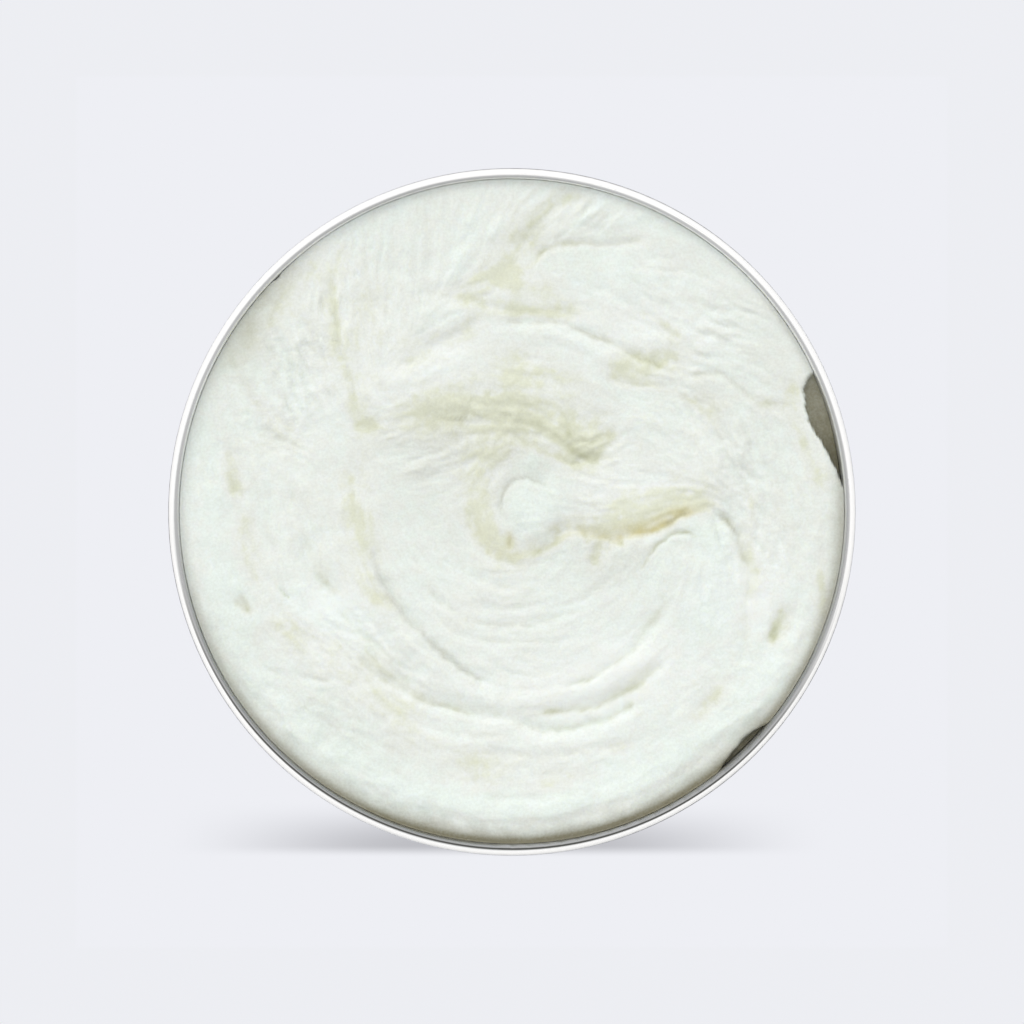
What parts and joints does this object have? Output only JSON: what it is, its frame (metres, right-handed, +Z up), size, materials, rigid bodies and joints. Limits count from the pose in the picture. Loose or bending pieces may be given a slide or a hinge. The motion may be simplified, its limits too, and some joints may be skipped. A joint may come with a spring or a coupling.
{
  "type": "shaving soap in a screw top tin",
  "caption": "Round shallow aluminium screw-top tin filled with swirled off-white shaving soap, with its lid and foam liner lying beside it.",
  "frame": {"origin": "centre of the tin's foot, on the table", "axes": "+Z up along the tin's axis, out of its open mouth; the lid lies towards -X, turned over; -Y is the front"},
  "size_m": [0.191, 0.083, 0.0262],
  "materials": {
    "tin_aluminium": "bright spun aluminium with fine turning marks and a polished rolled rim",
    "soap": null,
    "lid_aluminium": "satin spun aluminium with fine turning marks",
    "foam": "fine closed-cell white polyethylene foam"
  },
  "bodies": {
    "tin": {"tin_base": "tin_aluminium", "soap_puck": "soap"},
    "liner": {"lid_liner": "foam"},
    "lid": {"screw_lid": "lid_aluminium"}
  },
  "joints": [
    {"name": "lid_swing", "type": "hinge", "parent": "tin", "child": "liner", "pos_m": [-0.054, 0, 0.014], "axis": [0, 1, 0], "range_deg": [0, 180]},
    {"name": "lid_turn", "type": "hinge", "parent": "liner", "child": "lid", "pos_m": [-0.108, 0, 0.005], "axis": [0, 0, -1], "range_deg": [0, 90]}
  ]
}
